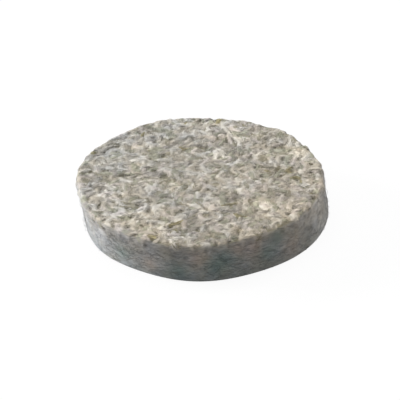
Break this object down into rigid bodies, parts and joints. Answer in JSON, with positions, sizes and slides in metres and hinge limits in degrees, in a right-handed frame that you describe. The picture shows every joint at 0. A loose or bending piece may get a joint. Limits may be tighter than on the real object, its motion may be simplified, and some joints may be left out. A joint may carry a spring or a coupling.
{
  "type": "felt furniture glide",
  "caption": "Round die-cut pad of thick pressed felt, flat and ready to glue on one face and napped on the other, which slides on the floor under a furniture leg.",
  "frame": {"origin": "centre of the flat lower face that is glued under the furniture leg", "axes": "+Z through the pad's thickness, from the glued face to the napped face; the outline is nearly round, so +X and +Y are free, and the napped face lies 0.6 mm towards -X of the glued one"},
  "size_m": [0.0287, 0.0279, 0.0049],
  "materials": {
    "felt": "matt pressed wool-mix felt, mottled beige grey, with a short tufted nap and a denser grey cut edge"
  },
  "bodies": {
    "root": {"felt_pad": "felt"}
  },
  "joints": []
}
